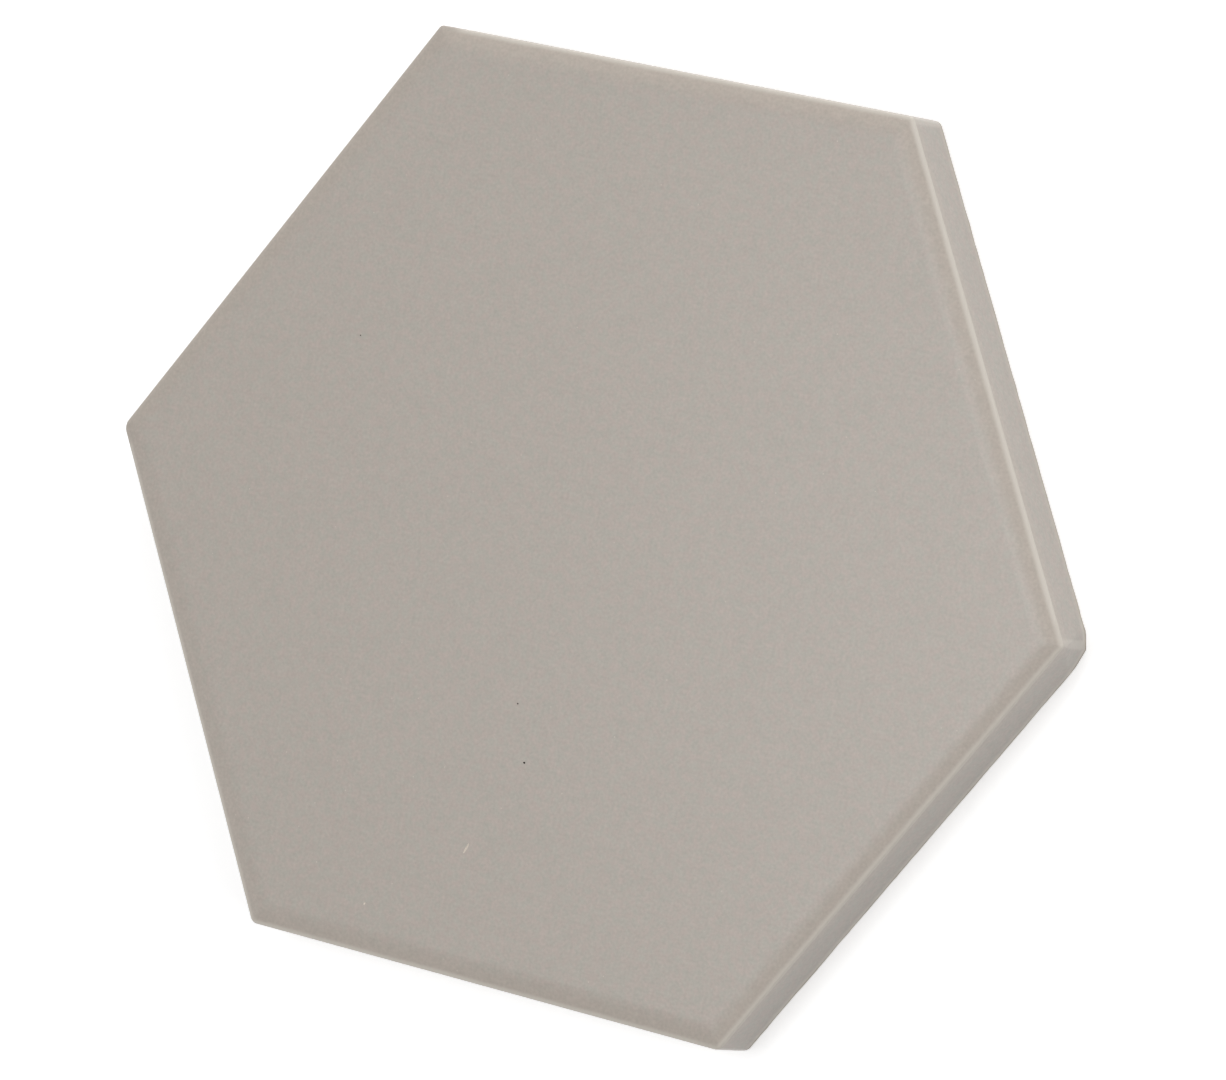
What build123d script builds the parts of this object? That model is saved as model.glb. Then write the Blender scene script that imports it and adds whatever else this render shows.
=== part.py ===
"""Hexagonal ceramic wall tile, pressed and glazed in one piece.

Millimetres, +Z up. The tile lies on its back: the back plane is Z = 0 and the glazed face looks up.
The centre of the hexagon is on the Z axis and one corner points along +X.
"""
import os
from math import atan2, cos, degrees, pi, radians, tan

from build123d import *

# Body
across_flats = 107.0        # between opposite sides at the back, where the tile is widest
thickness = 8.0             # from the back plane to the flat of the face
side_lean = 0.35            # how far each side leans in on its way up, so that it leaves the mould
corner_radius = 1.1         # the six upright corners, at the back
foot_radius = 0.25          # the edge between a side and the back

# Cushioned rim of the face
rim_width = 4.0             # from a side to where the face is flat
rim_slope = 14.0            # degrees, how steeply the rim falls where it meets the arris
rim_radius = 13.0           # of the arc that leads from the flat of the face into the fall
crown_corner_radius = 4.0   # corners of the flat of the face, seen from above
arris_radius = 0.3          # the edge between the rim and a side

# Keying relief of the back: rings of pockets round a plain middle cell
border_width = 7.0          # plain border between the pockets and the sides
pocket_rings = 3
rib_width = 2.0             # between neighbouring pockets, at the back plane
pocket_depth = 0.7
pocket_draft = 30.0         # degrees, lean of the pocket walls
pocket_corner_radius = 1.2

# The flat of the face and the fall of the rim would meet this far outside the start of the arc.
rim_run = rim_radius * tan(radians(rim_slope / 2))

foot_apothem = across_flats / 2
crown_apothem = foot_apothem - side_lean - (rim_width - rim_run)
side_taper = degrees(atan2(side_lean, thickness))

# Whole cells only: the outermost ones reach the border with one corner.
cell_height = cos(pi / 6)   # of a row of cells, for a pitch of one
relief_apothem = foot_apothem - border_width
cell_pitch = relief_apothem / (pocket_rings * cell_height + 0.5 / cell_height)
pocket_apothem = (cell_pitch - rib_width) / 2


def pocket_centres():
    """Return the centres of the cells that stand in rings round the middle one."""
    steps = range(-pocket_rings, pocket_rings + 1)
    cells = [(a, b) for a in steps for b in steps if 0 < max(abs(a), abs(b), abs(a + b)) <= pocket_rings]
    return [((a + b / 2) * cell_pitch, b * cell_height * cell_pitch) for a, b in cells]


# The form of the face, wider than the tile, which trims the pressed body.
with BuildPart() as face_form:
    with BuildSketch(Plane.XY.offset(thickness)) as crown:
        RegularPolygon(crown_apothem, 6, major_radius=False)
        fillet(crown.vertices(), crown_corner_radius)
    extrude(amount=-thickness, taper=rim_slope - 90)
    fillet(face_form.faces().sort_by(Axis.Z)[-1].edges(), rim_radius)

# One pocket of the relief, at the middle of the back.
with BuildPart() as pocket:
    with BuildSketch() as mouth:
        RegularPolygon(pocket_apothem, 6, major_radius=False, rotation=30)
    extrude(amount=pocket_depth, taper=pocket_draft)
    wall_corners = pocket.edges().filter_by(lambda edge: edge.bounding_box().size.Z > pocket_depth / 2)
    fillet(wall_corners, pocket_corner_radius)

with BuildPart() as tile:
    with BuildSketch() as outline:
        RegularPolygon(foot_apothem, 6, major_radius=False)
        fillet(outline.vertices(), corner_radius)
    extrude(amount=thickness, taper=side_taper)
    add(face_form.part, mode=Mode.INTERSECT)

    sides = tile.faces().filter_by(lambda face: abs(face.normal_at().Z) < 0.2)
    upper_edges = sides.edges().filter_by(lambda edge: edge.bounding_box().min.Z > thickness / 2)
    fillet(upper_edges, arris_radius)

    fillet(tile.faces().sort_by(Axis.Z)[0].edges(), foot_radius)

    with Locations(*pocket_centres()):
        add(pocket.part, mode=Mode.SUBTRACT)

tile.part.label = "tile"

os.makedirs("parts", exist_ok=True)
export_step(tile.part, "parts/tile.step")
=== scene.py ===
"""A hexagonal wall tile with a satin warm grey glaze, lying on its back on a pale floor.

The pressed body, its cushioned face, the keying relief of the back and the small faults of the
glaze are modelled as one mesh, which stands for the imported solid. Lengths are in metres, and what
a tile maker would measure in millimetres is written in millimetres and multiplied by MM.
"""

import logging
import math
from collections.abc import Callable, Sequence
from dataclasses import dataclass, field
from enum import Enum
from functools import reduce

import bmesh
import bpy
from mathutils import Matrix, Vector


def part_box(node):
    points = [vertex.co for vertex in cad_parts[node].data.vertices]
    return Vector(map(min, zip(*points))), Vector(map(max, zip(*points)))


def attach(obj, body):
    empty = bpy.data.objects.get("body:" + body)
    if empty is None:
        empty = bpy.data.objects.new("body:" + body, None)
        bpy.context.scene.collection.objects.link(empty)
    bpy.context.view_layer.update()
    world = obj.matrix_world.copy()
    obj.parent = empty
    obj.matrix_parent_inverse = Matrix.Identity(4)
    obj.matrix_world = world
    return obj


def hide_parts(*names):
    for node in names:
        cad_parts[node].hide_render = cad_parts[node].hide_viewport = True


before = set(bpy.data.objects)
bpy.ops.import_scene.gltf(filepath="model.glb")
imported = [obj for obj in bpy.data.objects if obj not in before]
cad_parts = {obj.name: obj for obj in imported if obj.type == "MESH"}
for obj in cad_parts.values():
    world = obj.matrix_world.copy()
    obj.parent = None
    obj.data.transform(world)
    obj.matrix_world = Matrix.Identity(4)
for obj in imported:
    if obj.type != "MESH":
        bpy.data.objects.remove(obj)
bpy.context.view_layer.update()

MM = 0.001
SIDES = 6
BODY = "root"
NODE = "tile"
LOG = logging.getLogger("tile")

Station = tuple[float, float]
Rgb = tuple[float, float, float]
Fade = tuple[float, float]

# Faded like this, a cloudy pattern becomes soft patches.
PATCHES: Fade = (0.7, 0.3)


def linear(red: int, green: int, blue: int) -> Rgb:
    """Turn a display colour into scene light.

    Args:
        red: Red as shown on a screen, 0 to 255.
        green: Green, likewise.
        blue: Blue, likewise.

    Returns:
        The same colour with linear channels from 0 to 1.
    """
    shown = (channel / 255 for channel in (red, green, blue))
    return tuple(c / 12.92 if c <= 0.04045 else ((c + 0.055) / 1.055) ** 2.4 for c in shown)


class Element(Enum):
    """What a pick on the bench selects."""

    VERTEX = "VERT"
    EDGE = "EDGE"
    FACE = "FACE"


class Bench:
    """The modelling bench: operators that act on what was picked by its place."""

    WEIGHT_LEVELS = 8
    WEAR_LAYERS = 2

    @staticmethod
    def clear() -> None:
        """Deselect every object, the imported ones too."""
        bpy.ops.object.select_all(action="DESELECT")

    @classmethod
    def take(cls, piece: bpy.types.Object) -> None:
        """Make a piece the only selected and the active one."""
        cls.clear()
        piece.select_set(True)
        bpy.context.view_layer.objects.active = piece

    @staticmethod
    def pick(element: Element, wanted: Callable[[object], bool]) -> int:
        """Select elements of the mesh that is being edited, and nothing else.

        Args:
            element: The kind of element to look through.
            wanted: Says of one element whether it is picked.

        Returns:
            How many elements are picked.
        """
        bpy.ops.mesh.select_all(action="DESELECT")
        bpy.ops.mesh.select_mode(type=element.value)
        mesh = bmesh.from_edit_mesh(bpy.context.edit_object.data)
        pool = {Element.VERTEX: mesh.verts, Element.EDGE: mesh.edges, Element.FACE: mesh.faces}[element]
        picked = [item for item in pool if wanted(item)]
        for item in picked:
            item.select_set(True)
        mesh.select_flush_mode()
        bmesh.update_edit_mesh(bpy.context.edit_object.data)
        return len(picked)

    @classmethod
    def hexagon(cls, name: str, apothem: float, turn: float = 0.0) -> bpy.types.Object:
        """Add a flat hexagon centred on the Z axis, and leave it in edit mode.

        Args:
            name: The piece's name.
            apothem: From the middle to a side.
            turn: Radians from the place where one corner lies on +X.

        Returns:
            The new piece, one face with everything selected.
        """
        cls.clear()
        bpy.ops.mesh.primitive_circle_add(
            vertices=SIDES, radius=apothem / math.cos(math.pi / SIDES), fill_type="NGON"
        )
        piece = bpy.context.active_object
        piece.name = name
        bpy.ops.object.mode_set(mode="EDIT")
        bpy.ops.mesh.select_all(action="SELECT")
        bpy.ops.transform.rotate(value=math.radians(90) + turn, orient_axis="Z", center_override=(0, 0, 0))
        return piece

    @staticmethod
    def round_corners(radius: float, steps: int) -> None:
        """Round the picked corners of a flat hexagon.

        Args:
            radius: Of each corner.
            steps: Facets of each corner.
        """
        reach = radius * math.tan(math.pi / SIDES)
        bpy.ops.mesh.bevel(affect="VERTICES", offset=reach, segments=steps, profile=0.5)

    @classmethod
    def pick_cap(cls) -> None:
        """Select all of a mesh that is still one face."""
        bpy.ops.mesh.select_mode(type=Element.FACE.value)
        bpy.ops.mesh.select_all(action="SELECT")

    @staticmethod
    def raise_along(section: Sequence[Station], apothem: float, inset_until: float = -math.inf) -> None:
        """Raise the selected cap from station to station.

        Args:
            section: Stations, each an inset from the outline and a height.
            apothem: From the middle to a side, where the inset is nothing.
            inset_until: Up to this inset the outline is offset, so that its corners grow sharper.
                Beyond it, it is drawn in about the Z axis.
        """
        for (inset, height), (next_inset, next_height) in zip(section, section[1:]):
            lift = next_height - height
            if inset < next_inset <= inset_until:
                bpy.ops.mesh.inset(thickness=next_inset - inset, depth=lift, use_even_offset=True)
            else:
                bpy.ops.mesh.extrude_region_move(TRANSFORM_OT_translate={"value": (0, 0, lift)})
                ratio = (apothem - next_inset) / (apothem - inset)
                bpy.ops.transform.resize(value=(ratio, ratio, 1), center_override=(0, 0, 0))

    @staticmethod
    def close(smooth_angle: float) -> None:
        """Turn the faces of the edited mesh outwards, leave edit mode and shade it.

        Args:
            smooth_angle: Edges that bend less than this many radians look smooth.
        """
        bpy.ops.mesh.select_all(action="SELECT")
        bpy.ops.mesh.normals_make_consistent(inside=False)
        bpy.ops.object.mode_set(mode="OBJECT")
        bpy.ops.object.shade_smooth_by_angle(angle=smooth_angle)

    @classmethod
    def shade(cls, piece: bpy.types.Object, smooth_angle: float) -> None:
        """Shade a cut piece so that its small cuts leave the large flats looking flat.

        Args:
            piece: The piece, out of edit mode.
            smooth_angle: Edges that bend less than this many radians look smooth.
        """
        cls.take(piece)
        bpy.ops.object.shade_smooth_by_angle(angle=smooth_angle)
        bpy.ops.object.modifier_add(type="WEIGHTED_NORMAL")
        weighing = piece.modifiers[-1]
        weighing.keep_sharp = True
        bpy.ops.object.modifier_apply(modifier=weighing.name)

    @classmethod
    def weigh(cls, piece: bpy.types.Object, group: str, weight: Callable[[Vector], float]) -> None:
        """Put the vertices of a piece in a group, each with a weight that its place gives.

        Args:
            piece: The piece, out of edit mode.
            group: The group's name.
            weight: Gives the weight of a place, from nothing to one.
        """
        cls.take(piece)
        bpy.ops.object.mode_set(mode="EDIT")
        bpy.ops.object.vertex_group_add()
        piece.vertex_groups.active.name = group
        levels = cls.WEIGHT_LEVELS
        for level in range(1, levels + 1):
            if cls.pick(Element.VERTEX, lambda vertex: round(weight(vertex.co) * levels) == level):
                bpy.context.scene.tool_settings.vertex_group_weight = level / levels
                bpy.ops.object.vertex_group_assign()
        bpy.ops.object.mode_set(mode="OBJECT")

    @classmethod
    def wear_away(cls, piece: bpy.types.Object, group: str, grain: float, depth: float) -> None:
        """Sink a group of vertices unevenly below the surface.

        Args:
            piece: The piece, out of edit mode.
            group: The vertices that may sink.
            grain: The size of the hollows.
            depth: Of the deepest hollow.
        """
        cls.take(piece)
        clouds = bpy.data.textures.new(group, type="CLOUDS")
        clouds.noise_scale = grain
        clouds.noise_depth = cls.WEAR_LAYERS
        bpy.ops.object.modifier_add(type="DISPLACE")
        sink = piece.modifiers[-1]
        sink.texture = clouds
        sink.texture_coords = "LOCAL"
        sink.vertex_group = group
        sink.mid_level = 1.0
        sink.strength = depth
        bpy.ops.object.modifier_apply(modifier=sink.name)

    @classmethod
    def join(cls, pieces: Sequence[bpy.types.Object]) -> bpy.types.Object:
        """Join pieces that need not touch.

        Args:
            pieces: The pieces, out of edit mode.

        Returns:
            The joined piece.
        """
        cls.clear()
        for piece in pieces:
            piece.select_set(True)
        bpy.context.view_layer.objects.active = pieces[0]
        bpy.ops.object.join()
        return pieces[0]

    @classmethod
    def carve(cls, piece: bpy.types.Object, cutter: bpy.types.Object) -> None:
        """Cut one piece out of another, and give the cut faces the cutter's material.

        Args:
            piece: The piece that stays.
            cutter: A closed piece, which is used up.
        """
        cls.take(piece)
        bpy.ops.object.modifier_add(type="BOOLEAN")
        cut = piece.modifiers[-1]
        cut.operation = "DIFFERENCE"
        cut.solver = "EXACT"
        cut.material_mode = "TRANSFER"
        cut.object = cutter
        bpy.ops.object.modifier_apply(modifier=cut.name)
        bpy.data.objects.remove(cutter)


@dataclass(frozen=True)
class Corner:
    """A corner of a section, rounded by a tangent arc."""

    inset: float
    height: float
    radius: float = 0.0
    steps: int = 1

    @property
    def point(self) -> Vector:
        """The corner before it is rounded."""
        return Vector((self.inset, self.height))

    def arc(self, before: Vector, after: Vector) -> list[Vector]:
        """Round the corner between the points before and after it.

        Args:
            before: The corner that comes first.
            after: The corner that comes next.

        Returns:
            Points from one end of the arc to the other.
        """
        if not self.radius:
            return [self.point]
        back, ahead = (before - self.point).normalized(), (after - self.point).normalized()
        half = back.angle(ahead) / 2
        centre = self.point + (back + ahead).normalized() * self.radius / math.sin(half)
        start = self.point + back * self.radius / math.tan(half) - centre
        bend = math.copysign(math.pi - 2 * half, -back.cross(ahead))
        turns = (bend * step / self.steps for step in range(self.steps + 1))
        return [centre + Matrix.Rotation(turn, 2) @ start for turn in turns]


def walk(corners: Sequence[Corner], longest: float) -> list[Station]:
    """Walk a section from its first corner to its last.

    Args:
        corners: The section's corners; the first and last stay sharp.
        longest: No two stations are further apart than this.

    Returns:
        Stations along the straight stretches and round the arcs.
    """
    points = [corners[0].point]
    for before, corner, after in zip(corners, corners[1:], corners[2:]):
        points += corner.arc(before.point, after.point)
    points.append(corners[-1].point)
    stations = [tuple(points[0])]
    for start, end in zip(points, points[1:]):
        pieces = max(1, math.ceil((end - start).length / longest))
        stations += [tuple(start.lerp(end, step / pieces)) for step in range(1, pieces + 1)]
    return stations


class Value:
    """A number that varies over a surface. Arithmetic on it adds the nodes that work it out."""

    def __init__(self, graph: "Graph", socket: bpy.types.NodeSocket) -> None:
        """Wrap an output socket of a graph."""
        self.graph = graph
        self.socket = socket

    def __add__(self, other: "Value | float") -> "Value":
        """Return the sum."""
        return self.graph.math("ADD", self, other)

    def __radd__(self, other: float) -> "Value":
        """Return the sum, with the number first."""
        return self.graph.math("ADD", other, self)

    def __sub__(self, other: "Value | float") -> "Value":
        """Return the difference."""
        return self.graph.math("SUBTRACT", self, other)

    def __rsub__(self, other: float) -> "Value":
        """Return the difference, with the number first."""
        return self.graph.math("SUBTRACT", other, self)

    def __mul__(self, other: "Value | float") -> "Value":
        """Return the product."""
        return self.graph.math("MULTIPLY", self, other)

    def __abs__(self) -> "Value":
        """Return the size without its sign."""
        return self.graph.math("ABSOLUTE", self)

    def __pow__(self, power: float) -> "Value":
        """Return the value to a power."""
        return self.graph.math("POWER", self, power)

    def most(self, other: "Value | float") -> "Value":
        """Return the larger of two values."""
        return self.graph.math("MAXIMUM", self, other)

    def least(self, other: "Value | float") -> "Value":
        """Return the smaller of two values."""
        return self.graph.math("MINIMUM", self, other)

    def fade(self, full: float, none: float) -> "Value":
        """Fade smoothly between two limits.

        Args:
            full: The value at which the result is one.
            none: The value at which the result is nothing.

        Returns:
            A mask from nothing to one.
        """
        rising = full > none
        settings = {"interpolation_type": "SMOOTHSTEP"}
        inputs = {"Value": self, "From Min": min(full, none), "From Max": max(full, none)}
        mask = self.graph.value("ShaderNodeMapRange", settings, inputs)
        return mask if rising else 1 - mask


@dataclass(frozen=True)
class Cloud:
    """A cloudy pattern of a surface.

    Its clouds have a size in millimetres, and its seed slides it to another part of itself. Its
    strength is how far it changes what it is laid on, and its relief is its share of the bumps.
    """

    size: float
    layers: float
    seed: float
    strength: float = 1.0
    relief: float = 0.0


class Graph:
    """The node tree of a material or a sky."""

    SPECK_EDGE = 0.02

    def __init__(self, owner: bpy.types.Material | bpy.types.World, output: str) -> None:
        """Start an empty tree but for its output."""
        self.owner = owner
        owner.use_nodes = True
        self.tree = owner.node_tree
        self.tree.nodes.clear()
        self.output = self.tree.nodes.new(output)

    @classmethod
    def of_material(cls, name: str) -> "Graph":
        """Start the tree of a new material."""
        return cls(bpy.data.materials.new(name), "ShaderNodeOutputMaterial")

    @classmethod
    def of_sky(cls, name: str) -> "Graph":
        """Start the tree of a new sky."""
        return cls(bpy.data.worlds.new(name), "ShaderNodeOutputWorld")

    def feed(self, socket: bpy.types.NodeSocket, source: object) -> None:
        """Link a socket to a source, or set it to a constant.

        Args:
            socket: An input of a node.
            source: A value, an output socket, a number, a text or a colour.
        """
        if isinstance(source, Value):
            source = source.socket
        if isinstance(source, bpy.types.NodeSocket):
            self.tree.links.new(source, socket)
        elif socket.type == "RGBA" and len(source) == 3:
            socket.default_value = (*source, 1.0)
        else:
            socket.default_value = source

    def node(
        self,
        kind: str,
        settings: dict[str, object] | None = None,
        inputs: dict[object, object] | None = None,
    ) -> bpy.types.Node:
        """Add a node.

        Args:
            kind: The node's type.
            settings: Its properties, which are set first.
            inputs: Values or links of its sockets, by name or number.

        Returns:
            The node.
        """
        made = self.tree.nodes.new(kind)
        for name, value in (settings or {}).items():
            setattr(made, name, value)
        for name, value in (inputs or {}).items():
            self.feed(made.inputs[name], value)
        return made

    def value(
        self,
        kind: str,
        settings: dict[str, object] | None = None,
        inputs: dict[object, object] | None = None,
        output: str | int = 0,
    ) -> Value:
        """Add a node and wrap one of its outputs."""
        return Value(self, self.node(kind, settings, inputs).outputs[output])

    def math(self, operation: str, *terms: "Value | float") -> Value:
        """Add a Math node on values and numbers."""
        return self.value("ShaderNodeMath", {"operation": operation}, dict(enumerate(terms)))

    def mix(
        self, amount: Value | float, first: object, second: object, blend: str = "MIX"
    ) -> bpy.types.NodeSocket:
        """Mix two colours.

        Args:
            amount: How much of the second colour shows.
            first: The colour underneath.
            second: The colour on top.
            blend: How the second is laid on the first.

        Returns:
            The socket of the mixed colour.
        """
        mixed = self.node("ShaderNodeMix", {"data_type": "RGBA", "blend_type": blend})
        colours = [socket for socket in mixed.inputs if socket.type == "RGBA"]
        self.feed(mixed.inputs[0], amount)
        self.feed(colours[0], first)
        self.feed(colours[1], second)
        return next(socket for socket in mixed.outputs if socket.type == "RGBA")

    def millimetres(self) -> bpy.types.NodeSocket:
        """Return the place on the piece, in millimetres."""
        inputs = {0: self.node("ShaderNodeTexCoord").outputs["Object"], "Scale": 1 / MM}
        return self.node("ShaderNodeVectorMath", {"operation": "SCALE"}, inputs).outputs[0]

    def along(self, place: bpy.types.NodeSocket, direction: Vector) -> Value:
        """Return how far a place lies in a direction."""
        inputs = {0: place, 1: tuple(direction)}
        return self.value("ShaderNodeVectorMath", {"operation": "DOT_PRODUCT"}, inputs, "Value")

    def seen_directly(self) -> Value:
        """Tell what is seen from what only lights.

        Returns:
            One for rays from the camera and for mirrored or refracted ones, and else nothing.
        """
        path = self.node("ShaderNodeLightPath")
        rays = ("Is Camera Ray", "Is Glossy Ray", "Is Transmission Ray")
        camera, glossy, transmission = (Value(self, path.outputs[name]) for name in rays)
        return camera.most(glossy).most(transmission)

    def grey(self, shade: Value) -> bpy.types.NodeSocket:
        """Turn a value into a grey."""
        return self.node("ShaderNodeCombineXYZ", None, dict.fromkeys(range(3), shade)).outputs[0]

    def noise(self, place: bpy.types.NodeSocket, cloud: Cloud) -> Value:
        """Add a cloudy pattern.

        Args:
            place: Where the pattern is read, in millimetres.
            cloud: The pattern.

        Returns:
            A value about one half.
        """
        moved = self.node("ShaderNodeVectorMath", {"operation": "ADD"}, {0: place, 1: (cloud.seed,) * 3})
        inputs = {"Vector": moved.outputs[0], "Scale": 1 / cloud.size, "Detail": cloud.layers}
        return self.value("ShaderNodeTexNoise", {"normalize": True}, inputs, "Fac")

    def specks(self, place: bpy.types.NodeSocket, spacing: float, radius: float, share: float) -> Value:
        """Add scattered specks.

        Args:
            place: Where the pattern is read, in millimetres.
            spacing: From one possible speck to the next, in millimetres.
            radius: Of a speck, in millimetres.
            share: How many of the possible specks there are, from nothing to one.

        Returns:
            A mask from nothing to one.
        """
        inputs = {"Vector": place, "Scale": 1 / spacing}
        cells = self.node("ShaderNodeTexVoronoi", {"feature": "F1"}, inputs)
        draw = self.value("ShaderNodeSeparateColor", None, {0: cells.outputs["Color"]})
        near = Value(self, cells.outputs["Distance"]).fade(full=radius / spacing / 2, none=radius / spacing)
        return near * draw.fade(full=share * (1 - self.SPECK_EDGE), none=share * (1 + self.SPECK_EDGE))

    def bump(self, relief: Value, depth: float) -> bpy.types.NodeSocket:
        """Turn a relief with a depth in millimetres into normals."""
        inputs = {"Strength": 1.0, "Distance": depth * MM, "Height": relief}
        return self.node("ShaderNodeBump", None, inputs).outputs[0]

    def surface(self, inputs: dict[str, object]) -> None:
        """Finish the tree with one principled surface."""
        shader = self.node("ShaderNodeBsdfPrincipled", None, inputs)
        self.tree.links.new(shader.outputs[0], self.output.inputs["Surface"])


@dataclass(frozen=True)
class Satin:
    """The glaze of the face and sides, and the bare body where the glaze ends.

    The glaze pools grey on the flat and runs thinner and warmer over the cushioned rim. A pale line on
    the arris and, more faintly, on the upright corners is partly the glaze breaking and partly a painted
    highlight. The sides carry a slight painted shade, and the foot is painted paler for light bounced off
    the floor, most on one side, where the arris line is also held a little fainter. On another side the
    rim carries a painted shade and the line is faint.
    Sizes are in millimetres. A fade is the place where a mask is full and the place where it ends.
    """

    cool: Rgb = linear(174, 169, 160)
    warm: Rgb = linear(179, 168, 160)
    rim: Rgb = linear(182, 172, 162)
    # Pale: the glaze breaking on the arris and corners, with a painted highlight there, and painted bounce
    # light on the foot.
    pale_break_and_light: Rgb = linear(204, 197, 187)
    speck: Rgb = linear(196, 188, 178)
    bare: Rgb = linear(190, 182, 171)
    sand: Rgb = linear(172, 163, 150)
    roughness: float = 0.35
    bare_roughness: float = 0.85
    gloss: float = 0.4

    wandering: Cloud = Cloud(5.0, 2.0, seed=11.0)
    pooling: Cloud = Cloud(5.0, 3.0, seed=3.0, strength=0.035)
    mottling: Cloud = Cloud(1.2, 3.0, seed=29.0, strength=0.12, relief=0.5)
    graining: Cloud = Cloud(0.36, 2.0, seed=37.0, strength=0.3, relief=0.2)
    tinting: Cloud = Cloud(0.9, 3.0, seed=53.0, strength=3.7)
    peeling: Cloud = Cloud(1.5, 2.0, seed=47.0, strength=0.08, relief=0.8)
    sanding: Cloud = Cloud(0.3, 4.0, seed=71.0, strength=0.5, relief=2.0)
    peel_depth: float = 0.006
    speck_spacing: float = 1.7
    speck_radius: float = 0.11
    speck_share: float = 0.25

    face_fade: Fade = (6.5, 5.5)
    rim_fade: Fade = (1.0, 3.4)
    rim_tint: float = 0.8
    # The arris and corner lines: partly the glaze breaking, partly a painted highlight.
    arris_fade: Fade = (0.1, 0.42)
    arris_wander: float = 0.1
    flank_share: float = 0.45
    corner_fade: Fade = (0.3, 0.7)
    corner_wander: float = 0.3
    corner_break_and_highlight: float = 0.45
    upright_fade: Fade = (6.9, 7.2)
    # A slight painted shade on the sides.
    side_fade: Fade = (6.6, 7.1)
    painted_wall_shade: float = 0.025
    # Painted bounce light from the floor: the foot is painted paler.
    foot_fade: Fade = (0.4, 1.7)
    foot_bounce_paling: float = 0.3
    hem_fade: Fade = (0.3, 0.54)
    hem_wander: float = 0.5

    # One side's rim and arris carry a painted shade. Another side's foot carries more painted bounce light,
    # and its arris line a little painted shade.
    near_fade: Fade = (2.0, 3.5)
    painted_shade_side: int = 2
    shaded_side_hold: float = 0.75
    shaded_side_rim_shade: float = 0.04
    bounce_side: int = 5
    bounce_side_hold: float = 0.2
    bounce_side_foot: float = 0.35

    def arris(self, inset: Value, height: Value, wander: Value, tile: "HexagonTile") -> Value:
        """Mask the arris, with a wider flank on its rim side.

        Args:
            inset: How far a place lies inside the sides.
            height: How far it lies above the back.
            wander: Moves the mask's edge to and fro.
            tile: The tile.

        Returns:
            A mask from nothing to one.
        """
        arris_inset, arris_height = (length / MM for length in tile.shoulder)
        inside = (inset - arris_inset).most(0.0)
        off_arris = ((inset - arris_inset) ** 2 + (height - arris_height) ** 2) ** 0.5
        return (off_arris - inside * self.flank_share + wander * self.arris_wander).fade(*self.arris_fade)

    def uprights(
        self, place: bpy.types.NodeSocket, height: Value, wander: Value, tile: "HexagonTile"
    ) -> Value:
        """Mask the upright corners, up to the arris.

        Args:
            place: The place on the tile.
            height: How far it lies above the back.
            wander: Moves the mask's edge to and fro.
            tile: The tile.

        Returns:
            A mask from nothing to one.
        """
        tangents = (tile.outwards(corner + 1) - tile.outwards(corner) for corner in range(SIDES // 2))
        aside = reduce(Value.least, (abs(height.graph.along(place, tangent)) for tangent in tangents))
        on_corner = (aside + wander * self.corner_wander).fade(*self.corner_fade)
        return on_corner * height.fade(*self.upright_fade)

    def material(self, tile: "HexagonTile") -> bpy.types.Material:
        """Mix the glaze for a tile.

        Args:
            tile: The tile whose outline and arris the glaze follows.

        Returns:
            The material.
        """
        graph = Graph.of_material("satin_glaze")
        place = graph.millimetres()
        height = graph.along(place, Vector((0, 0, 1)))
        across = [graph.along(place, tile.outwards(side)) for side in range(SIDES)]
        # Near the side whose rim and arris carry a painted shade, and near the side whose foot carries the
        # most painted bounce light.
        at_shaded_side = (tile.apothem / MM - across[self.painted_shade_side]).fade(*self.near_fade)
        at_bounce_side = (tile.apothem / MM - across[self.bounce_side]).fade(*self.near_fade)
        reaches = (distance - offset / MM for distance, offset in zip(across, tile.side_offsets))
        inset = tile.apothem / MM - reduce(Value.most, reaches)

        wander = graph.noise(place, self.wandering) - 0.5
        pools = graph.noise(place, self.pooling)
        mottle = graph.noise(place, self.mottling)
        grain = graph.noise(place, self.graining)
        tint = graph.noise(place, self.tinting)
        peel = graph.noise(place, self.peeling)
        sand = graph.noise(place, self.sanding)

        on_rim = (inset + wander).fade(*self.rim_fade) * height.fade(*self.face_fade)
        # The arris line is partly the glaze breaking and partly a painted highlight. It is held fainter, as
        # painted shade, on the two sides masked above.
        on_arris = self.arris(inset, height, wander, tile)
        on_arris = on_arris * (1 - at_shaded_side * self.shaded_side_hold) * (1 - at_bounce_side * self.bounce_side_hold)
        # The upright corners carry a fainter line, likewise partly glaze break and partly painted
        # highlight.
        on_corner = self.uprights(place, height, wander, tile) * self.corner_break_and_highlight
        # Painted bounce light: the foot is painted paler, most on one side.
        painted_foot_bounce = height.fade(*self.foot_fade) * (self.foot_bounce_paling + at_bounce_side * self.bounce_side_foot)
        on_hem = (height + wander * self.hem_wander).fade(*self.hem_fade)

        glaze = graph.mix((tint - 0.5) * self.tinting.strength + 0.5, self.cool, self.warm)
        glaze = graph.mix(on_rim * self.rim_tint, glaze, self.rim)
        clouds = ((pools, self.pooling), (mottle, self.mottling), (grain, self.graining))
        shade = sum(((value - 0.5) * cloud.strength for value, cloud in clouds), start=1)
        # Painted shade: the rim darker on one side, and the sides a little darker than the face.
        shade = shade - on_rim * at_shaded_side * self.shaded_side_rim_shade
        shade = shade - height.fade(*self.side_fade) * self.painted_wall_shade
        glaze = graph.mix(1.0, glaze, graph.grey(shade), "MULTIPLY")
        specks = graph.specks(place, self.speck_spacing, self.speck_radius, self.speck_share)
        glaze = graph.mix(specks, glaze, self.speck)
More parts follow.
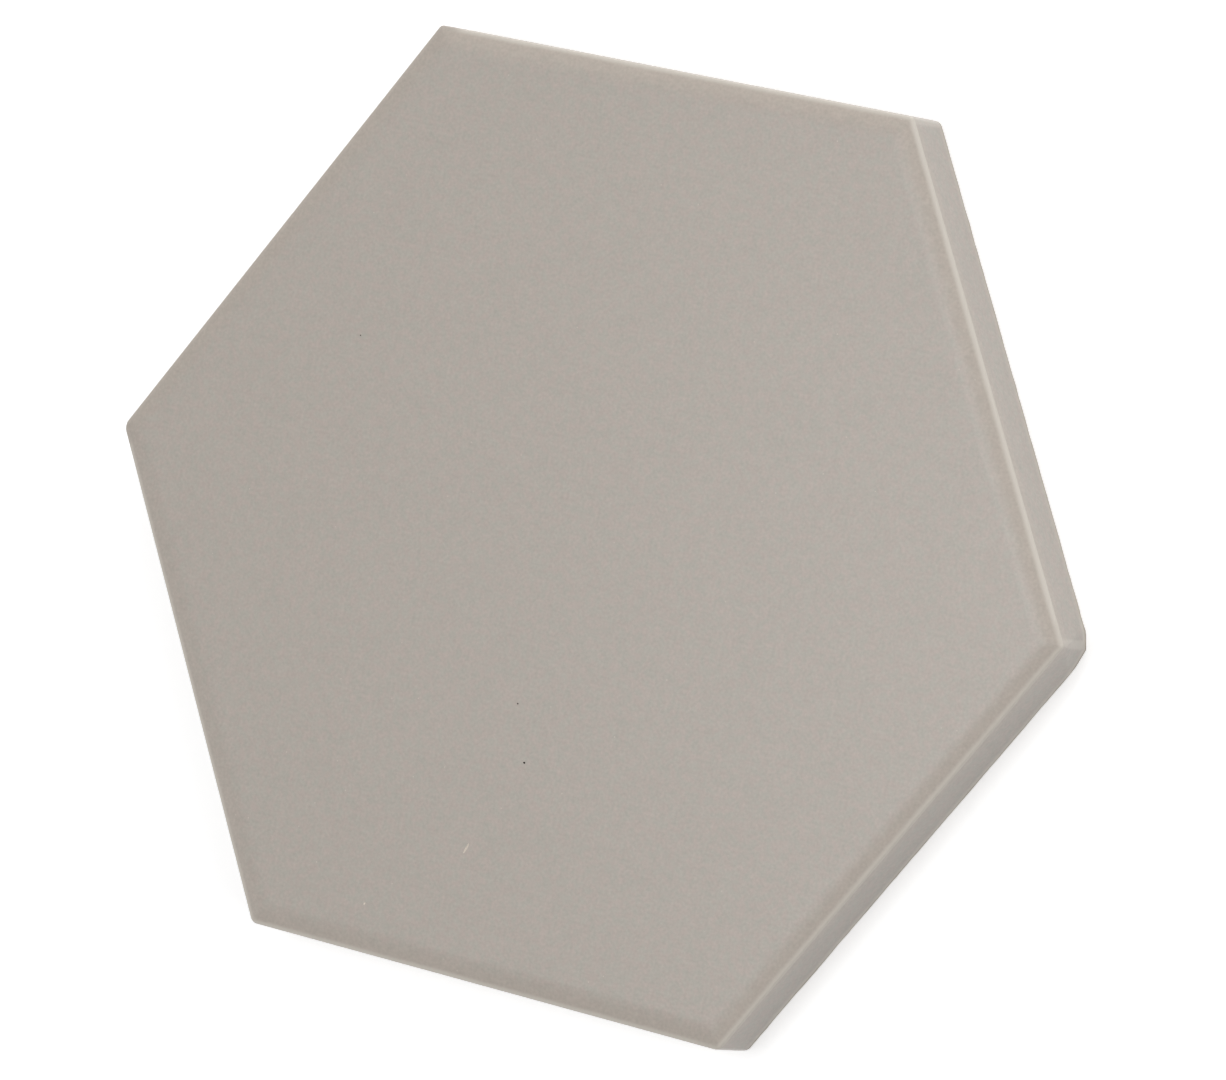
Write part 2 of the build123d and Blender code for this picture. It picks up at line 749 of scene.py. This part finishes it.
        # Lays the glaze break and painted highlight on the arris and corners, and painted bounce light on
        # the foot.
        glaze = graph.mix(on_arris.most(on_corner).most(painted_foot_bounce), glaze, self.pale_break_and_light)
        bare = graph.mix(sand.fade(*PATCHES) * self.sanding.strength, self.bare, self.sand)
        colour = graph.mix(on_hem, glaze, bare)

        rough = self.roughness + (peel - 0.5) * self.peeling.strength
        rough = rough + on_hem * (self.bare_roughness - self.roughness)
        relief = peel * self.peeling.relief + mottle * self.mottling.relief + grain * self.graining.relief
        relief = relief + on_hem * sand * self.sanding.relief
        inputs = {"Base Color": colour, "Roughness": rough, "Specular IOR Level": self.gloss}
        graph.surface(inputs | {"Normal": graph.bump(relief, self.peel_depth)})
        return graph.owner


@dataclass(frozen=True)
class Biscuit:
    """The bare fired body: matt, sandy and a little uneven in colour."""

    body: Rgb = linear(196, 188, 178)
    dark: Rgb = linear(178, 168, 155)
    roughness: float = 0.88
    gloss: float = 0.3
    blotching: Cloud = Cloud(9.0, 3.0, seed=5.0, strength=0.4)
    sanding: Cloud = Cloud(0.3, 4.0, seed=71.0, strength=0.4)
    sand_depth: float = 0.02

    def material(self, name: str, tone: float = 1.0) -> bpy.types.Material:
        """Mix the body for a cut or unglazed surface.

        Args:
            name: The material's name.
            tone: How bright it is beside the plain body.

        Returns:
            The material.
        """
        graph = Graph.of_material(name)
        place = graph.millimetres()
        blotches = graph.noise(place, self.blotching).fade(*PATCHES)
        sand = graph.noise(place, self.sanding)
        body, dark = (tuple(channel * tone for channel in colour) for colour in (self.body, self.dark))
        amount = blotches * self.blotching.strength + sand * self.sanding.strength
        colour = graph.mix(amount, body, dark)
        inputs = {"Base Color": colour, "Roughness": self.roughness, "Specular IOR Level": self.gloss}
        graph.surface(inputs | {"Normal": graph.bump(sand, self.sand_depth)})
        return graph.owner


class Fault(Enum):
    """The small faults of a fired glaze, each with a tone of the body: a pinhole painted dark with shade, a
    nick paler.
    """

    # Painted shade: a pinhole is painted far darker than the body, for the shade in it.
    SHADED_PINHOLE = 0.12
    NICK = 1.35


@dataclass(frozen=True)
class Mark:
    """One fault of the face: its kind, the place of its middle and its size, in millimetres."""

    fault: Fault
    east: float
    north: float
    length: float
    width: float
    depth: float
    turn: float = 0.0

    SEGMENTS = 12
    RINGS = 8

    def cutter(self, surface: float) -> bpy.types.Object:
        """Model what the fault takes out of the face.

        Args:
            surface: The height of the face, in metres.

        Returns:
            A closed egg whose lower half lies in the face.
        """
        Bench.clear()
        bpy.ops.mesh.primitive_uv_sphere_add(segments=self.SEGMENTS, ring_count=self.RINGS, radius=MM / 2)
        egg = bpy.context.active_object
        bpy.ops.object.mode_set(mode="EDIT")
        bpy.ops.mesh.select_all(action="SELECT")
        bpy.ops.transform.resize(value=(self.length, self.width, 2 * self.depth), center_override=(0, 0, 0))
        bpy.ops.transform.rotate(value=-math.radians(self.turn), orient_axis="Z", center_override=(0, 0, 0))
        bpy.ops.transform.translate(value=(self.east * MM, self.north * MM, surface))
        bpy.ops.object.mode_set(mode="OBJECT")
        return egg


@dataclass(frozen=True)
class Chip:
    """A flat chip along an upright corner.

    It faces a turn in radians from +X, and has its depth at the back.
    """

    turn: float
    depth: float


@dataclass
class HexagonTile:
    """The tile: a pressed body with a cushioned face and a keyed back, in metres.

    A fired tile is never quite true, so each side has its own offset and each corner its own radius.
    Sides are listed from the one that faces 30 degrees from +X towards +Y, and corners from +X.
    """

    apothem: float
    thickness: float
    side_lean: float = 0.35 * MM
    side_offsets: tuple[float, ...] = (
        -0.22 * MM, -0.01 * MM, -0.17 * MM, -0.01 * MM, -0.08 * MM, 0.14 * MM
    )
    corner_radii: tuple[float, ...] = (0.8 * MM, 1.0 * MM, 0.95 * MM, 1.6 * MM, 1.2 * MM, 1.2 * MM)
    foot_radius: float = 0.15 * MM
    foot_grain: float = 1.8 * MM
    foot_wear: float = 0.1 * MM
    foot_height: float = 0.25 * MM
    foot_fade: float = 1.2 * MM
    hem_heights: tuple[float, ...] = (0.4 * MM, 0.7 * MM, 1.2 * MM)
    chips: tuple[Chip, ...] = (Chip(math.radians(13), 0.69 * MM), Chip(math.radians(-20), 0.61 * MM))
    rim_width: float = 3.05 * MM
    rim_slope: float = math.radians(17)
    rim_radius: float = 7.0 * MM
    arris_radius: float = 0.3 * MM
    border_width: float = 7.0 * MM
    pocket_rings: int = 3
    rib_width: float = 2.0 * MM
    pocket_depth: float = 0.7 * MM
    pocket_draft: float = math.radians(30)
    pocket_corner_radius: float = 1.2 * MM
    pocket_edge_radius: float = 0.25 * MM
    marks: tuple[Mark, ...] = (
        Mark(Fault.SHADED_PINHOLE, east=0.03, north=-27.15, length=0.26, width=0.24, depth=0.12),
        Mark(Fault.SHADED_PINHOLE, east=-2.34, north=-20.8, length=0.2, width=0.18, depth=0.07),
        Mark(Fault.SHADED_PINHOLE, east=-32.18, north=16.21, length=0.17, width=0.15, depth=0.05),
        Mark(Fault.NICK, east=-4.98, north=-38.28, length=1.35, width=0.26, depth=0.06, turn=70.0),
        Mark(Fault.NICK, east=-16.38, north=-47.42, length=0.35, width=0.2, depth=0.04, turn=60.0),
    )
    glaze: Satin = field(default_factory=Satin)
    biscuit: Biscuit = field(default_factory=Biscuit)

    SIDE_CUTS = 119
    CORNER_STEPS = 8
    FOOT_STEPS = 4
    ARRIS_STEPS = 8
    RIM_STEPS = 10
    POCKET_CORNER_STEPS = 4
    POCKET_EDGE_STEPS = 3
    LONGEST_STEP = 1.4 * MM
    SMOOTH_ANGLE = math.radians(40)
    OVERLAP = 0.02 * MM
    CUT_TOLERANCE = 0.0001 * MM
    LEVEL_TOLERANCE = 0.01 * MM

    @property
    def crown(self) -> Station:
        """Where the flat of the face would meet the fall of the rim."""
        run = self.rim_radius * math.tan(self.rim_slope / 2)
        return (self.side_lean + self.rim_width - run, self.thickness)

    @property
    def shoulder(self) -> Station:
        """Where the fall of the rim would meet a side."""
        lean = self.side_lean / self.thickness
        inset, height = self.crown
        drop = (inset - self.side_lean) / (1 / math.tan(self.rim_slope) + lean)
        return ((height - drop) * lean, height - drop)

    def section(self) -> list[Station]:
        """Draw the section of one side.

        Returns:
            Stations from the back, up the side and over the rim to the flat of the face.
        """
        lean = self.side_lean / self.thickness
        corners = [
            Corner(3 * self.foot_radius, 0.0),
            Corner(0.0, 0.0, self.foot_radius, self.FOOT_STEPS),
            *(Corner(height * lean, height) for height in self.hem_heights),
            Corner(*self.shoulder, self.arris_radius, self.ARRIS_STEPS),
            Corner(*self.crown, self.rim_radius, self.RIM_STEPS),
            Corner(self.side_lean + 2 * self.rim_width, self.thickness),
        ]
        return walk(corners, self.LONGEST_STEP)

    @staticmethod
    def outwards(side: int) -> Vector:
        """Return the outward direction of a side."""
        angle = math.pi / SIDES * (2 * side + 1)
        return Vector((math.cos(angle), math.sin(angle), 0))

    def corner_place(self, corner: int, inset: float = 0.0) -> Vector:
        """Find where two sides of the back would meet if their corner were sharp.

        Args:
            corner: The corner, counted from +X.
            inset: How far inside the sides.

        Returns:
            The place.
        """
        first, second = self.outwards(corner - 1), self.outwards(corner)
        before, after = (self.apothem - inset + self.side_offsets[side] for side in (corner - 1, corner))
        overlap = first.dot(second)
        return (first * (before - after * overlap) + second * (after - before * overlap)) / (1 - overlap**2)

    def lay_outline(self, inset: float) -> bpy.types.Object:
        """Draw the outline of the back with its sides and corners where the fired tile has them.

        Args:
            inset: How far the outline lies inside the sides.

        Returns:
            The outline, one face in edit mode.
        """
        piece = Bench.hexagon("hexagon_tile", self.apothem - inset)
        circumradius = (self.apothem - inset) / math.cos(math.pi / SIDES)
        for corner in range(SIDES):
            angle = 2 * math.pi / SIDES * corner
            even = Vector((math.cos(angle), math.sin(angle), 0)) * circumradius
            Bench.pick(Element.VERTEX, lambda vertex: (vertex.co - even).length < circumradius / 2)
            bpy.ops.transform.translate(value=self.corner_place(corner, inset) - even)
            Bench.round_corners(self.corner_radii[corner], self.CORNER_STEPS)
        Bench.pick(Element.EDGE, lambda edge: edge.calc_length() > circumradius / 2)
        bpy.ops.mesh.subdivide(number_cuts=self.SIDE_CUTS)
        Bench.pick_cap()
        return piece

    def press(self) -> bpy.types.Object:
        """Model the body, from the outline of its back up to the flat of its face.

        Returns:
            The closed body, with the upright corner on +X chipped and its foot worn uneven.
        """
        section = self.section()
        piece = self.lay_outline(section[0][0])
        Bench.raise_along(section, self.apothem, inset_until=self.side_lean + self.arris_radius)
        self.chip_corner()
        Bench.close(self.SMOOTH_ANGLE)
        Bench.weigh(piece, "foot", self.foot_weight)
        Bench.wear_away(piece, "foot", self.foot_grain, self.foot_wear)
        return piece

    def foot_weight(self, place: Vector) -> float:
        """Weigh the foot: all of it low down, less and less above, and nothing on the back.

        Args:
            place: A place on the tile.

        Returns:
            Its weight, from nothing to one.
        """
        if place.z < self.LEVEL_TOLERANCE:
            return 0.0
        return max(0.0, 1 - max(0.0, place.z - self.foot_height) / self.foot_fade)

    def chip_corner(self) -> None:
        """Cut the upright corner on +X, deepest at the back and running out at the arris."""
        inset, height = self.shoulder
        foot = self.corner_place(0)
        top = self.corner_place(0, inset) + Vector((0, 0, height))
        for chip in self.chips:
            level = Vector((math.cos(chip.turn), math.sin(chip.turn), 0))
            start = foot - level * chip.depth
            outwards = level * height + Vector((0, 0, (start - top).dot(level)))
            bpy.ops.mesh.select_all(action="SELECT")
            bpy.ops.mesh.bisect(
                plane_co=start,
                plane_no=outwards,
                use_fill=True,
                clear_outer=True,
                threshold=self.CUT_TOLERANCE,
            )

    @property
    def cell_pitch(self) -> float:
        """From one pocket to the next, so that whole rings of them fill the back."""
        row = math.cos(math.pi / SIDES)
        return (self.apothem - self.border_width) / (self.pocket_rings * row + 0.5 / row)

    def pocket_centres(self) -> list[Station]:
        """Lay out the cells that stand in rings round the middle one.

        Returns:
            Their centres.
        """
        steps = range(-self.pocket_rings, self.pocket_rings + 1)
        pairs = ((a, b) for a in steps for b in steps)
        cells = [(a, b) for a, b in pairs if 0 < max(abs(a), abs(b), abs(a + b)) <= self.pocket_rings]
        east, north = self.cell_pitch, self.cell_pitch * math.cos(math.pi / SIDES)
        return [((a + b / 2) * east, b * north) for a, b in cells]

    def pockets(self) -> bpy.types.Object:
        """Model the relief of the back as one cutter, a pocket at a time.

        Returns:
            The joined pockets, which reach below the back.
        """
        apothem = (self.cell_pitch - self.rib_width) / 2
        edge = self.pocket_edge_radius
        run = self.pocket_depth * math.tan(self.pocket_draft)
        corners = [
            Corner(-2 * edge, -edge),
            Corner(-edge, -self.OVERLAP),
            Corner(0.0, 0.0, edge, self.POCKET_EDGE_STEPS),
            Corner(run, self.pocket_depth, edge, self.POCKET_EDGE_STEPS),
            Corner(apothem / 2, self.pocket_depth),
        ]
        first = Bench.hexagon("pocket", apothem + 2 * edge, turn=math.pi / SIDES)
        Bench.round_corners(self.pocket_corner_radius, self.POCKET_CORNER_STEPS)
        Bench.pick_cap()
        bpy.ops.transform.translate(value=(0, 0, -edge))
        Bench.raise_along(walk(corners, longest=self.apothem), apothem)
        Bench.close(self.SMOOTH_ANGLE)
        first.data.materials.append(self.biscuit.material("bare_body"))
        copies = []
        for east, north in self.pocket_centres():
            copy = first.copy()
            copy.data = first.data.copy()
            bpy.context.collection.objects.link(copy)
            copy.data.transform(Matrix.Translation((east, north, 0)))
            copies.append(copy)
        bpy.data.objects.remove(first)
        return Bench.join(copies)

    def faults(self) -> bpy.types.Object:
        """Model the small faults of the face as one cutter.

        Returns:
            The joined faults, each kind with its tone of the body in it, which in a pinhole is a painted
            shade.
        """
        bodies = {
            fault: self.biscuit.material(f"body_in_{fault.name.lower()}", fault.value) for fault in Fault
        }
        eggs = [mark.cutter(self.thickness) for mark in self.marks]
        for mark, egg in zip(self.marks, eggs):
            egg.data.materials.append(bodies[mark.fault])
        return Bench.join(eggs)

    def build(self) -> bpy.types.Object:
        """Model and dress the whole tile.

        Returns:
            The finished piece.
        """
        piece = self.press()
        piece.data.materials.append(self.glaze.material(self))
        Bench.carve(piece, self.pockets())
        Bench.carve(piece, self.faults())
        Bench.shade(piece, self.SMOOTH_ANGLE)
        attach(piece, BODY)
        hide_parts(NODE)
        return piece


@dataclass(frozen=True)
class Lamp:
    """A square soft light that looks at the tile."""

    name: str
    azimuth: float
    elevation: float
    distance: float
    size: float
    power: float

    def hang(self) -> None:
        """Hang the lamp and point it at the middle of the tile."""
        light = bpy.data.lights.new(self.name, "AREA")
        light.shape = "SQUARE"
        light.size = self.size
        light.energy = self.power
        lamp = bpy.data.objects.new(self.name, light)
        bpy.context.scene.collection.objects.link(lamp)
        away = direction(self.azimuth, self.elevation)
        lamp.location = away * self.distance
        lamp.rotation_euler = away.to_track_quat("Z", "Y").to_euler()


def direction(azimuth: float, elevation: float) -> Vector:
    """Point somewhere.

    Args:
        azimuth: Degrees from +X towards +Y.
        elevation: Degrees above the floor.

    Returns:
        The unit vector that way.
    """
    turn, rise = math.radians(azimuth), math.radians(elevation)
    level = math.cos(rise)
    return Vector((level * math.cos(turn), level * math.sin(turn), math.sin(rise)))


@dataclass(frozen=True)
class Viewpoint:
    """Where the photograph was taken from, worked out from the tile's nine visible edges."""

    azimuth: float = 5.755
    elevation: float = 63.296
    roll: float = -83.227
    distance: float = 700.5 * MM
    aim: tuple[float, float, float] = (4.94 * MM, -0.21 * MM, 7.45 * MM)
    lens: float = 181.85
    nearest: float = 0.01
    farthest: float = 10.0

    def set_up(self) -> None:
        """Place the camera."""
        data = bpy.data.cameras.new("camera")
        data.lens = self.lens
        data.clip_start, data.clip_end = self.nearest, self.farthest
        camera = bpy.data.objects.new("camera", data)
        bpy.context.scene.collection.objects.link(camera)
        back = direction(self.azimuth, self.elevation)
        right = Vector((0, 0, 1)).cross(back).normalized()
        right = Matrix.Rotation(math.radians(self.roll), 3, back) @ right
        turned = Matrix((right, back.cross(right), back)).transposed()
        camera.matrix_world = Matrix.Translation(Vector(self.aim) + back * self.distance) @ turned.to_4x4()
        bpy.context.scene.camera = camera


@dataclass(frozen=True)
class Studio:
    """A pale floor, an even sky and soft lamps."""

    view: Viewpoint = field(default_factory=Viewpoint)
    lamps: tuple[Lamp, ...] = (
        Lamp("key", azimuth=78, elevation=16, distance=1.0, size=0.7, power=3.91),
        Lamp("key_far", azimuth=98, elevation=16, distance=1.0, size=0.7, power=2.47),
        Lamp("softbox", azimuth=186, elevation=80, distance=0.7, size=0.28, power=1.39),
        Lamp("fill", azimuth=-5, elevation=30, distance=0.5, size=0.25, power=0.52),
        Lamp("left", azimuth=215, elevation=20, distance=1.0, size=0.7, power=1.01),
    )
    sky: float = 0.31
    floor_size: float = 6.0
    floor_gap: float = 0.02 * MM
    floor_colour: Rgb = (0.85, 0.85, 0.85)
    floor_roughness: float = 0.9
    floor_lift: float = 0.45

    def lay_floor(self) -> None:
        """Lay the floor, which the camera sees as white but for the tile's shadow."""
        Bench.clear()
        bpy.ops.mesh.primitive_plane_add(size=self.floor_size, location=(0, 0, 0))
        floor = bpy.context.active_object
        floor.name = "floor"
        floor.data.transform(Matrix.Translation((0, 0, -self.floor_gap)))
        graph = Graph.of_material("pale_floor")
        glow = graph.mix(graph.seen_directly(), (0.0, 0.0, 0.0), (self.floor_lift,) * 3)
        graph.surface(
            {
                "Base Color": self.floor_colour,
                "Roughness": self.floor_roughness,
                "Specular IOR Level": 0.0,
                "Emission Color": glow,
                "Emission Strength": 1.0,
            }
        )
        floor.data.materials.append(graph.owner)

    def light(self) -> None:
        """Light the sky, which looks white, and hang the lamps."""
        graph = Graph.of_sky("sky")
        white = (1.0, 1.0, 1.0)
        lit, seen = (
            graph.node("ShaderNodeBackground", None, {"Color": white, "Strength": strength}).outputs[0]
            for strength in (self.sky, 1.0)
        )
        sky = graph.node("ShaderNodeMixShader", None, {0: graph.seen_directly(), 1: lit, 2: seen})
        graph.tree.links.new(sky.outputs[0], graph.output.inputs["Surface"])
        bpy.context.scene.world = graph.owner
        for lamp in self.lamps:
            lamp.hang()

    def set_up(self) -> None:
        """Build the whole studio."""
        self.lay_floor()
        self.light()
        self.view.set_up()
        bpy.context.scene.view_settings.view_transform = "Standard"


def main() -> None:
    """Build the tile and its studio."""
    logging.basicConfig(level=logging.INFO, format="%(message)s")
    low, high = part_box(NODE)
    tile = HexagonTile(apothem=high.y, thickness=high.z - low.z)
    piece = tile.build()
    LOG.info("%s: %d faces", piece.name, len(piece.data.polygons))
    Studio().set_up()


if __name__ == "__main__":
    main()
